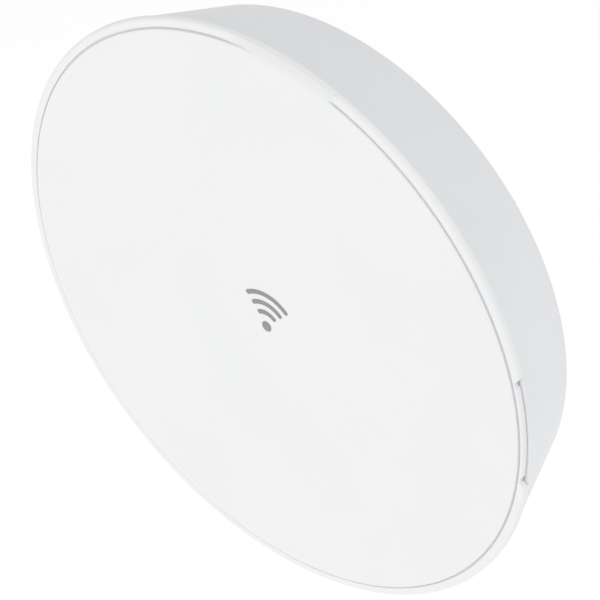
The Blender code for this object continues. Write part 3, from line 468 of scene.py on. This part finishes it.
ALUMINIUM = turned_aluminium()
front, depth, flange_radius = on_boresight("horn")
horn_profile = rounded(
    (HORN_INNER, 0, 0.0002), (HORN_OUTER, 0, 0.0002),
    (HORN_OUTER, depth - HORN_FLANGE, 0.0002), (flange_radius, depth - HORN_FLANGE, 0.0002),
    (flange_radius, depth, 0.0003), (HORN_INNER, depth, 0.0002))
placed(lathe("horn_turned", horn_profile, 128, front), ALUMINIUM, "aluminium", "horn")

PLATE_SHEET = 0.0015
front, depth, plate_radius = on_boresight("sub_reflector")
plate_inner = plate_radius - PLATE_SHEET
plate_profile = rounded(
    (0, 0, 0), (plate_radius, 0, 0.0014), (plate_radius, depth, 0.0003),
    (plate_inner, depth, 0.0003), (plate_inner, PLATE_SHEET, 0.0004), (0, PLATE_SHEET, 0))
placed(lathe("splash_plate", plate_profile, 160, front), ALUMINIUM, "aluminium", "sub_reflector")

# ---------------------------------------------------------------------------------------------
# Feed cone and weather cap: the moulded cone that plugs into the horn and carries the splash
# plate, and the thin cap that clips over the plate. White ASA.

CONE_SPIGOT, CONE_RIM, CONE_PLUG, SPIGOT_STRAIGHT = 0.0147, 0.0015, 0.018, 0.010
CAP_SHEET, CAP_EDGE = 0.0020, 0.0030

front, depth, cone_radius = on_boresight("feed_cone")
cone_length = depth - CONE_PLUG
cone_profile = rounded(
    (0, 0, 0), (cone_radius, 0, 0.0004), (cone_radius, CONE_RIM, 0.0006),
    (HORN_OUTER, cone_length, 0.0005), (CONE_SPIGOT, cone_length, 0.0002),
    (CONE_SPIGOT, cone_length + SPIGOT_STRAIGHT, 0.0008), (0, depth, 0))
placed(lathe("feed_cone_turned", cone_profile, 128, front), MOULDED, "moulded_plastic",
       "feed_cone")

front, depth, cap_radius = on_boresight("sub_reflector_cap")
cap_inner = cap_radius - CAP_SHEET
cap_profile = rounded(
    (0, 0, 0), (cap_radius, 0, CAP_EDGE), (cap_radius, depth, 0.0005),
    (cap_inner, depth, 0.0005), (cap_inner, CAP_SHEET, 0.0006), (0, CAP_SHEET, 0))
placed(lathe("weather_cap", cap_profile, 160, front), MOULDED, "moulded_plastic",
       "sub_reflector_cap")

# ---------------------------------------------------------------------------------------------
# Reflector: a 1.5 mm steel bowl drawn to a paraboloid of 130 mm focal length, with a flat centre
# and a flat outer flange. Powder coated white on both sides.

FOCAL, BOWL_SHEET, FLAT, FEED_HOLE, FLANGE_WIDTH = 0.130, 0.0015, 0.056, 0.0297, 0.010
CENTRE_BEND, FLANGE_BEND = 0.002, 0.0015


def walled(line, sheet):
    """A sheet of even thickness: the open line, then the same line moved along its normals."""
    slope = np.gradient(line, axis=0)
    slope /= np.linalg.norm(slope, axis=1, keepdims=True)
    return np.vstack([line, (line + np.column_stack([-slope[:, 1], slope[:, 0]]) * sheet)[::-1]])


front, depth, flange_radius = on_boresight("reflector")
aperture = flange_radius - FLANGE_WIDTH
radii = np.linspace(FLAT, aperture, 56)
rise = (aperture ** 2 - FLAT ** 2) / (4 * FOCAL)
bowl = np.column_stack([radii, rise - (radii ** 2 - FLAT ** 2) / (4 * FOCAL)])
centre = np.column_stack([np.linspace(FEED_HOLE, FLAT - CENTRE_BEND, 6), np.full(6, rise)])
flange = np.column_stack([np.linspace(aperture + FLANGE_BEND, flange_radius, 5), np.zeros(5)])
line = np.vstack([centre, bowl, flange])
placed(lathe("reflector_bowl", walled(line, BOWL_SHEET), 256, front), POWDER, "coated_steel",
       "reflector")

# ---------------------------------------------------------------------------------------------
# Shroud: the deep band round the bowl, spun from 1.6 mm sheet. It flares forward to a turned-in
# hem, and its inner ledge stands in front of the bowl's flange. Powder coated white.

BAND_SHEET, HEM, HEM_DEPTH, OVERLAP, FLARE = 0.0016, 0.0060, 0.0060, 0.022, 0.0275
BAND_FIT, FOOT_FIT, BULGE, BULGE_FILLET = 0.0014, 0.0005, 0.35, 0.012

front, depth, band_radius = on_boresight("shroud")
ledge = depth - OVERLAP
rear_radius = band_radius - FLARE
foot = aperture + FOOT_FIT
ledge_radius = flange_radius + BAND_FIT
hem_wall = band_radius - FLARE * HEM_DEPTH / depth - BAND_SHEET
band_profile = rounded(
    (foot, ledge, 0.0004), (ledge_radius, ledge, 0.0006),
    (rear_radius - BAND_SHEET, depth, 0.0004), (rear_radius, depth, 0.0010),
    (band_radius - BULGE * FLARE, BULGE * depth, BULGE_FILLET),
    (band_radius, 0, 0.0012), (band_radius - HEM, 0, 0.0006),
    (band_radius - HEM, HEM_DEPTH, 0.0006), (hem_wall, HEM_DEPTH, 0.0010),
    (ledge_radius + 0.0004, ledge - BAND_SHEET, 0.0010), (foot, ledge - BAND_SHEET, 0.0004),
    steps=8)
placed(lathe("shroud_band", band_profile, 384, front), POWDER, "coated_steel", "shroud")

# ---------------------------------------------------------------------------------------------
# Shroud screws: six pan heads with a hexagon socket, driven from behind the flange into the
# shroud's foot. The same bright zinc plate as the other fasteners.

SCREW, SCREW_HEAD, SCREW_HEAD_HEIGHT, SOCKET, SOCKET_DEPTH = 0.0020, 0.0034, 0.0022, 0.0011, 0.0012


def socketed(r, d, a):
    """Cuts the socket's wall, the only rows with a radius near the socket's, to a hexagon."""
    wall = (r > 0.9 * SOCKET) & (r < 1.2 * SOCKET) & (d > 0)
    return np.where(wall, across_flats(np.full_like(r, 1.15 * SOCKET), a, SOCKET), r), d


for number in range(1, 7):
    node = f"shroud_screw_{number}"
    low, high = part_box(node)
    screw_length = high[1] - low[1] - SCREW_HEAD_HEIGHT
    socket_floor = SCREW_HEAD_HEIGHT - SOCKET_DEPTH
    screw_profile = rounded(
        (0, socket_floor, 0), (SOCKET, socket_floor, 0), (SOCKET, SCREW_HEAD_HEIGHT, 0),
        (0.6 * SCREW_HEAD, SCREW_HEAD_HEIGHT, 0.0005),
        (SCREW_HEAD, 0.4 * SCREW_HEAD_HEIGHT, 0.0009), (SCREW_HEAD, 0, 0.0001),
        (SCREW, 0, 0.0001), (SCREW, -0.9 * screw_length, 0.0004), (0, -screw_length, 0))
    under_head = seat(node, (0, 1, 0), screw_length)
    screw = lathe(f"{node}_pan_head", screw_profile, 36, under_head, (0, 1, 0), socketed)
    placed(screw, ZINC, "plated_steel", node)

# ---------------------------------------------------------------------------------------------
# Radome seal: a soft silicone ring squeezed between the shroud's hem and the radome's lip. Its
# light grey grade is what keeps the seam under the lip pale.

SEAL_WIDTH, SEAL_SETBACK, SEAL_EDGE = 0.0020, 0.0030, 0.0005


def silicone():
    """Light grey silicone sponge: closed 0.5 mm cells and soft 6 mm tone, nearly matt."""
    made, tree, place = coating("light_grey_silicone", ior=1.43)
    cell = add(tree, "TexNoise", None, Vector=place, Scale=1 / 0.0005, Detail=3).outputs["Fac"]
    tone = add(tree, "TexNoise", None, Vector=place, Scale=1 / 0.006, Detail=3).outputs["Fac"]
    return finished(made, tone, ("#b9babc", "#c6c7c9"), cell, (0.6, 0.78), cell, 0.00003)


front, depth, seal_radius = on_boresight("radome_seal")
seal_radius -= SEAL_SETBACK
seal_inner = seal_radius - SEAL_WIDTH
seal_profile = rounded((seal_inner, 0, SEAL_EDGE), (seal_radius, 0, SEAL_EDGE),
                       (seal_radius, depth, SEAL_EDGE), (seal_inner, depth, SEAL_EDGE))
placed(lathe("seal_ring", seal_profile, 256, front), silicone(), "rubber", "radome_seal")

# ---------------------------------------------------------------------------------------------
# Radome: the 2.5 mm moulded cover that closes the dish. A flat face stands proud of a lip, and a
# skirt inside the hem has four snap tabs. So that a tool can reach them, the lip is drawn in at
# the right-hand tab and scooped out over the top one.

SHELL, FACE_RISE, LIP, LIP_EDGE, GROOVE = 0.0025, 0.0009, 0.0080, 0.0026, 0.0021
CAD_RISE, FACE_EDGE = 0.0030, 0.0040
RIM_WALL, RIM_REACH, RIM_BAND, RIM_STEP = 0.0016, 0.0019, 0.006, 0.0027
SKIRT, SKIRT_SHEET, SKIRT_FIT = 0.0090, 0.0018, 0.0010
TABS, TAB_HALVES = np.radians([6.7, 88.5, 174, 270]), np.radians([10.3, 13.5, 12, 12])
STEP_TURN, SLOT_HALF, SLOT_FLANK = math.radians(0.5), math.radians(0.8), 1.6
SLOT_START, SLOT_ROOT = 0.0012, 0.003
DRAWN_IN, NOTCH = 0.0042, 0.0052
TOP_TAB, SCOOP_START, SCOOP_FADE = 1, math.radians(1.5), 0.2
SCOOP_WIDTH, SCOOP_DEPTH, SCOOP_WALL = 0.0110, 0.0049, 0.0004
SCOOP_BEND, SCOOP_BACK, SCOOP_BACK_WIDTH, SCOOP_BACK_DEPTH = 1.6, 0.0019, 0.002, 0.0004
# The rows of the profile are picked out by their radius and depth, give or take a hair.
HAIR, FINE_HAIR = 1e-5, 1e-6


def face_plastic():
    """Radome-grade ASA: 1.2 mm satin texture, very shallow, with faint 90 mm flow drift in tone."""
    made, tree, place = coating("satin_white_radome_asa", ior=1.5)
    grain = add(tree, "TexNoise", None, Vector=place, Scale=1 / 0.0012, Detail=3).outputs["Fac"]
    drift = add(tree, "TexNoise", None, Vector=place, Scale=1 / 0.09, Detail=2).outputs["Fac"]
    return finished(made, drift, ("#eff0f1", "#f4f4f5"), grain, (0.42, 0.50), grain, 0.000012)


def ease(value, start, end):
    """Smooth step: 0 up to start, 1 from end on, and 3 t squared - 2 t cubed in between."""
    t = np.clip((value - start) / (end - start), 0, 1)
    return t * t * (3 - 2 * t)


def latched(r, d, a):
    """At the right-hand tab the rim's band is drawn in by a step in the angle, with a notch at each
    end. Over the top tab the face rolls down to a valley behind a thin outer wall: its depth is the
    scoop's times the share of the way out to the wall, raised to the scoop's bend. At every tab's
    ends the skirt is lifted, which leaves the slots that free the tab."""
    offset = (a[..., None] - TABS + np.pi) % (2 * np.pi) - np.pi
    away = np.abs(offset)
    step = np.clip((TAB_HALVES - away) / STEP_TURN, 0, 1)
    slot = np.clip(SLOT_FLANK - np.abs(away - TAB_HALVES) / SLOT_HALF, 0, 1)
    drawn = np.maximum(step * DRAWN_IN, slot * NOTCH)[..., 0]
    rim = (r > RADOME_RADIUS - RIM_BAND) & (d < lip_back + RIM_REACH + HAIR)

    from_top, half = offset[..., TOP_TAB], TAB_HALVES[TOP_TAB]
    scooped = ease(from_top, -half, SCOOP_START - half) * (
        1 - ease(from_top, SCOOP_FADE * half, half))
    outer = RADOME_RADIUS - SCOOP_WALL
    inward = np.clip((r - outer + SCOOP_WIDTH) / SCOOP_WIDTH, 0, 1)
    valley = SCOOP_DEPTH * inward ** SCOOP_BEND
    hollow = (d < FACE_RISE + GROOVE + HAIR) & (r < outer + FINE_HAIR) & (r > outer - SCOOP_WIDTH)
    behind = (np.abs(d - lip_back) < SCOOP_BACK_DEPTH) & (r > outer - SCOOP_BACK_WIDTH)
    crest = (r > outer + FINE_HAIR) & (d > FACE_RISE) & (d < lip_back)
    d = d - crest * (d - FACE_RISE) * scooped
    d = np.where(hollow, d + (valley - d) * scooped, d + behind * SCOOP_BACK * scooped)

    r = r - rim * drawn * (r - RADOME_RADIUS + RIM_BAND) / RIM_BAND
    lift = (d - lip_back - SLOT_START) * slot.max(-1)
    skirt = (d > lip_back + SLOT_ROOT) & (r < skirt_radius + FINE_HAIR)
    return r, np.where(skirt, d - lift, d)


front, depth, RADOME_RADIUS = on_boresight("radome")
rim_front = front[1] + CAD_RISE
front = (0, rim_front - FACE_RISE, AXIS)
shoulder = RADOME_RADIUS - LIP
lip_back = FACE_RISE + SHELL
groove_floor = FACE_RISE + GROOVE
rim_inner, rim_back = RADOME_RADIUS - RIM_WALL, lip_back + RIM_REACH
skirt_radius = band_radius - HEM - SKIRT_FIT
skirt_inner, skirt_back = skirt_radius - SKIRT_SHEET, lip_back + SKIRT
face_rows = np.column_stack([np.linspace(0, shoulder - FACE_EDGE, 8), np.zeros(8)])
rest = rounded(
    (shoulder - 0.0038, 0, 0), (shoulder, 0, 0.0008), (shoulder + 0.0002, groove_floor, 0.0004),
    (shoulder + 0.0013, groove_floor, 0.0004), (shoulder + 0.0015, FACE_RISE, 0.0003),
    (shoulder + 0.0028, FACE_RISE, 0), (shoulder + 0.0037, FACE_RISE, 0),
    (shoulder + 0.0046, FACE_RISE, 0), (RADOME_RADIUS, FACE_RISE, LIP_EDGE),
    (RADOME_RADIUS, rim_back, 0.0004), (rim_inner, rim_back, 0.0003),
    (rim_inner, lip_back, 0.0003), (rim_inner - RIM_STEP, lip_back, 0),
    (skirt_radius, lip_back, 0.0002), (skirt_radius, skirt_back, 0.0004),
    (skirt_inner, skirt_back, 0.0004), (skirt_inner, lip_back, 0.0004),
    (skirt_inner - SHELL, SHELL, 0.0008), (0, SHELL, 0), steps=6)
cover = lathe("radome_cover_moulding", np.vstack([face_rows, rest]), 900, front, (0, 1, 0), latched)
placed(cover, face_plastic(), "radome_plastic", "radome")

# ---------------------------------------------------------------------------------------------
# Printed mark: a plain signal sign, three arcs over a dot, pad-printed in grey ink on the face.
# A few hundredths of a millimetre of satin ink, drawn thicker here so that it stays in front.

INK_THICKNESS, INK_SUNK = 0.00025, 0.0002
ARC_RADII, ARC_HALF_WIDTH, ARC_HALF_TURN = (0.012, 0.020, 0.028), 0.0018, math.radians(42)
ARC_STATIONS, DOT_RADIUS, DOT_EDGE = 65, 0.0042, 0.00005
MARK_SIDE, MARK_DROP = 0.001, 0.008


def ink():
    """Grey two-part pad ink: 1 mm mottling from the pad, satin."""
    made, tree, place = coating("grey_pad_printing_ink", ior=1.5)
    mottle = add(tree, "TexNoise", None, Vector=place, Scale=1 / 0.001, Detail=3).outputs["Fac"]
    return finished(made, mottle, ("#8c8d90", "#97989b"), mottle, (0.38, 0.5), mottle, 0.000006)


def arc_band(name, inner, outer, half_turn, middle):
    """A flat slab between two radii: row k is one corner of its section, carried over an arc with
    half-round ends, where the section shrinks to its middle as the square root of the way left."""
    angle = np.linspace(-half_turn, half_turn, ARC_STATIONS)
    half = (outer - inner) / 2
    way = np.minimum(half_turn - np.abs(angle), half / outer) * outer / half
    width = half * np.sqrt(np.clip(1 - (1 - way) ** 2, 0.0, 1))
    low, high = (inner + outer) / 2 - width, (inner + outer) / 2 + width
    face, back = front[1] - INK_THICKNESS, front[1] + INK_SUNK
    rows = [np.column_stack([middle[0] + r * np.sin(angle), np.full(ARC_STATIONS, y),
                             middle[1] + r * np.cos(angle)])
            for r, y in ((low, face), (high, face), (high, back), (low, back))]
    return open_tube(name, np.array(rows))


def open_tube(name, points):
    """A slab from section rows (corners, stations, 3): sides all round and a cap at each end."""
    rows, columns = points.shape[:2]
    i, j = np.meshgrid(np.arange(rows), np.arange(columns - 1), indexing="ij")
    following = (i + 1) % rows
    sides = np.stack([i * columns + j, following * columns + j, following * columns + j + 1,
                      i * columns + j + 1], -1).reshape(-1, 4)
    mesh = bpy.data.meshes.new(name)
    ends = [[k * columns for k in range(rows)], [k * columns + columns - 1 for k in range(rows)]]
    mesh.from_pydata(points.reshape(-1, 3).tolist(), [], sides.tolist() + ends)
    bm = bmesh.new()
    bm.from_mesh(mesh)
    bmesh.ops.remove_doubles(bm, verts=bm.verts, dist=1e-7)
    bmesh.ops.recalc_face_normals(bm, faces=bm.faces)
    bm.to_mesh(mesh)
    bm.free()
    piece = bpy.data.objects.new(name, mesh)
    bpy.context.scene.collection.objects.link(piece)
    return piece


INK = ink()
mark_centre = (MARK_SIDE, AXIS - MARK_DROP)
mark_pieces = [
    arc_band(f"mark_arc_{number}", radius - ARC_HALF_WIDTH, radius + ARC_HALF_WIDTH,
             ARC_HALF_TURN, mark_centre)
    for number, radius in enumerate(ARC_RADII, 1)]
dot = rounded((0, -INK_THICKNESS, 0), (DOT_RADIUS, -INK_THICKNESS, DOT_EDGE),
              (DOT_RADIUS, INK_SUNK, DOT_EDGE), (0, INK_SUNK, 0))
mark_pieces.append(lathe("mark_dot", dot, 64, (mark_centre[0], front[1], mark_centre[1])))
for piece in mark_pieces:
    piece.data.materials.append(INK)
    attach(piece, "radome_cover")

# ---------------------------------------------------------------------------------------------
# Studio: an opal light table far below the dish, a soft light in front, another above its right
# side, and a white surround. The camera looks down on the face from the right, ten dish radii away.

CAMERA_AZIMUTH, CAMERA_ELEVATION = math.radians(41.61), math.radians(41.48)
CAMERA_DISTANCE, LENS, SENSOR = 2.295, 198.9, 36.0
SHIFT = (0.0557, 0.0273)
FLOOR_DROP, FLOOR_HALF = 0.45, 9.0
SURROUND, TABLE_GLOW = 0.69, 0.235
FRONT_PLACE, FRONT_SIZE, FRONT_POWER = (-0.3, -2.3, 0.75), 0.8, 8.0
SIDE_PLACE, SIDE_SIZE, SIDE_POWER = (1.5, 0.2, 2.4), 1.2, 13


def opal_table():
    """Opal acrylic light table: matt white, lit a little from below, with barely visible 0.4 m
    drift of tone."""
    made, tree, place = coating("opal_acrylic_light_table", ior=1.49,
                                Emission_Color=linear("#ffffff"), Emission_Strength=TABLE_GLOW)
    drift = add(tree, "TexNoise", None, Vector=place, Scale=1 / 0.4, Detail=2).outputs["Fac"]
    return finished(made, drift, ("#fbfbfb", "#fcfcfc"), drift, (0.85, 0.92))


def softbox(name, place, target, size, power):
    """A square area light at a place, turned to face its target."""
    light = bpy.data.lights.new(name, "AREA")
    light.size, light.energy = size, power
    made = bpy.data.objects.new(name, light)
    made.location = place
    made.rotation_euler = (Vector(target) - Vector(place)).to_track_quat("-Z", "Y").to_euler()
    bpy.context.scene.collection.objects.link(made)
    return made


floor_level = cad_box[0][2] - FLOOR_DROP
floor_mesh = bpy.data.meshes.new("studio_floor")
floor_corners = [(x * FLOOR_HALF, y * FLOOR_HALF, floor_level)
                 for x, y in ((-1, -1), (1, -1), (1, 1), (-1, 1))]
floor_mesh.from_pydata(floor_corners, [], [(0, 1, 2, 3)])
floor_mesh.materials.append(opal_table())
floor = bpy.data.objects.new("studio_floor", floor_mesh)
bpy.context.scene.collection.objects.link(floor)

world = bpy.data.worlds.new("white_surround")
world.use_nodes = True
surround = world.node_tree.nodes["Background"].inputs
surround["Color"].default_value = (1, 1, 1, 1)
surround["Strength"].default_value = SURROUND
bpy.context.scene.world = world
bpy.context.scene.view_settings.view_transform = "Standard"

middle = Vector((0, rim_front, AXIS))
softbox("front_light", FRONT_PLACE, middle, FRONT_SIZE, FRONT_POWER)
softbox("side_light", SIDE_PLACE, middle, SIDE_SIZE, SIDE_POWER)

camera = bpy.data.objects.new("camera", bpy.data.cameras.new("camera"))
level = math.cos(CAMERA_ELEVATION)
toward = Vector((math.sin(CAMERA_AZIMUTH) * level, -math.cos(CAMERA_AZIMUTH) * level,
                 math.sin(CAMERA_ELEVATION)))
camera.location = middle + toward * CAMERA_DISTANCE
camera.rotation_euler = (-toward).to_track_quat("-Z", "Y").to_euler()
camera.data.lens, camera.data.sensor_width = LENS, SENSOR
camera.data.shift_x, camera.data.shift_y = SHIFT
bpy.context.scene.collection.objects.link(camera)
bpy.context.scene.camera = camera
